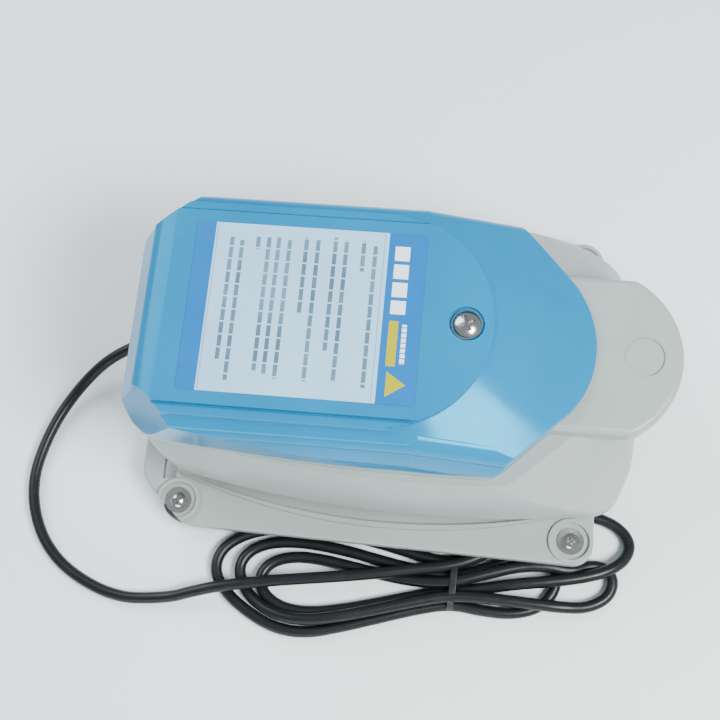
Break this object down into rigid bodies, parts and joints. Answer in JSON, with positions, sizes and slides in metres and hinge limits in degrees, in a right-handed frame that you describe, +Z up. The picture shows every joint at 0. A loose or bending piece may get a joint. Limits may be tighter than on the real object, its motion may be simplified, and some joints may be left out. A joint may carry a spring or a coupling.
{
  "type": "air pump",
  "caption": "Electric diaphragm air pump for ponds and aquariums: rounded body on a footed base, lift-off glossy cover over a filter, outlet spigot under a flat nose, mains cord in a tied hank.",
  "frame": {"origin": "centre of the pump's footprint on the floor, cord left out", "axes": "+X along the pump towards its nose and outlet, +Z up, the hank of cord lies on the -Y side"},
  "size_m": [0.2846, 0.2031, 0.1072],
  "materials": {
    "shell_grey": "satin moulded",
    "tray_grey": "satin moulded",
    "cover_blue": "glossy moulded",
    "label": "smooth film",
    "bright_screw": "bright plated",
    "zinc_screw": "zinc plated",
    "soft_rubber": "soft matt",
    "felt": "felt",
    "frame_plastic": "glass filled",
    "laminations": "rolled steel",
    "bobbin_plastic": "natural nylon",
    "copper": "enamelled wire",
    "shuttle_metal": "machined",
    "magnet": "sintered",
    "disc_metal": "turned",
    "head_plastic": "moulded",
    "flap_rubber": "soft",
    "hose_rubber": "soft",
    "nozzle_grey": "moulded",
    "terminal": "moulded",
    "lead_sheath": "soft sheath",
    "cord_black": "satin sheath",
    "tie_black": "nylon",
    "plug_black": "moulded",
    "blade_brass": "plated",
    "foot_rubber": "moulded"
  },
  "bodies": {
    "base": {"body_shell": "shell_grey", "cover_gasket": "soft_rubber", "base_tray": "tray_grey", "foot_rear_near": "foot_rubber", "foot_rear_far": "foot_rubber", "foot_front_near": "foot_rubber", "foot_front_far": "foot_rubber", "foot_screws": "bright_screw", "body_screws": "zinc_screw", "end_plate_rear": "frame_plastic", "end_plate_front": "frame_plastic", "motor_rails": "frame_plastic", "screw_post": "blade_brass", "stator_core_near": "laminations", "bobbin_near": "bobbin_plastic", "winding_near": "copper", "stator_core_far": "laminations", "bobbin_far": "bobbin_plastic", "winding_far": "copper", "diaphragm_rear": "soft_rubber", "diaphragm_front": "soft_rubber", "pump_head_rear": "head_plastic", "pump_head_front": "head_plastic", "head_cover_rear": "head_plastic", "head_cover_front": "head_plastic", "head_screws_rear": "zinc_screw", "head_screws_front": "zinc_screw", "motor_mount_rear_near": "foot_rubber", "motor_mount_rear_far": "foot_rubber", "motor_mount_front_near": "foot_rubber", "motor_mount_front_far": "foot_rubber", "hose_rear": "hose_rubber", "hose_front": "hose_rubber", "manifold": "head_plastic", "outlet_nozzle": "nozzle_grey", "outlet_seal": "soft_rubber", "terminal_block": "terminal", "leads": "lead_sheath", "cord_gland": "cord_black", "cord": "cord_black", "cord_tail": "cord_black", "cord_hank": "cord_black", "cord_tie": "tie_black", "plug_body": "plug_black", "plug_blades": "blade_brass"},
    "cover": {"top_cover": "cover_blue", "cover_label": "label"},
    "cover_screw": {"cover_screw": "bright_screw"},
    "filter": {"filter_pad": "felt"},
    "shuttle": {"shuttle": "shuttle_metal", "shuttle_magnets": "magnet", "clamp_discs_rear": "disc_metal", "clamp_discs_front": "disc_metal", "rod_nut_rear": "zinc_screw", "rod_nut_front": "zinc_screw"},
    "intake_flap_rear": {"intake_flap_rear": "flap_rubber"},
    "intake_flap_front": {"intake_flap_front": "flap_rubber"},
    "outlet_flap_rear": {"outlet_flap_rear": "flap_rubber"},
    "outlet_flap_front": {"outlet_flap_front": "flap_rubber"}
  },
  "joints": [
    {"name": "cover_lift", "type": "slide", "parent": "base", "child": "cover", "axis": [0, 0, 1], "range_m": [0, 0.06]},
    {"name": "screw_lift", "type": "slide", "parent": "cover", "child": "cover_screw", "axis": [0, 0, 1], "range_m": [0, 0.045]},
    {"name": "filter_lift", "type": "slide", "parent": "base", "child": "filter", "axis": [0, 0, 1], "range_m": [0, 0.03]},
    {"name": "shuttle_slide", "type": "slide", "parent": "base", "child": "shuttle", "axis": [1, 0, 0], "range_m": [-0.0015, 0.0015], "stiffness_N_per_m": 8000, "deforming": ["diaphragm_rear", "diaphragm_front"]},
    {"name": "intake_flap_rear_swing", "type": "hinge", "parent": "base", "child": "intake_flap_rear", "pos_m": [-0.0726, 0, 0.0624], "axis": [0, -1, 0], "range_deg": [0, 12]},
    {"name": "intake_flap_front_swing", "type": "hinge", "parent": "base", "child": "intake_flap_front", "pos_m": [0.0466, 0, 0.0624], "axis": [0, 1, 0], "range_deg": [0, 12]},
    {"name": "outlet_flap_rear_swing", "type": "hinge", "parent": "base", "child": "outlet_flap_rear", "pos_m": [-0.0794, 0, 0.0404], "axis": [0, 1, 0], "range_deg": [0, 12]},
    {"name": "outlet_flap_front_swing", "type": "hinge", "parent": "base", "child": "outlet_flap_front", "pos_m": [0.0534, 0, 0.0404], "axis": [0, -1, 0], "range_deg": [0, 12]}
  ],
  "couplings": [
    {"joint": "filter_lift", "follows": "cover_lift", "ratio": 0.5}
  ]
}
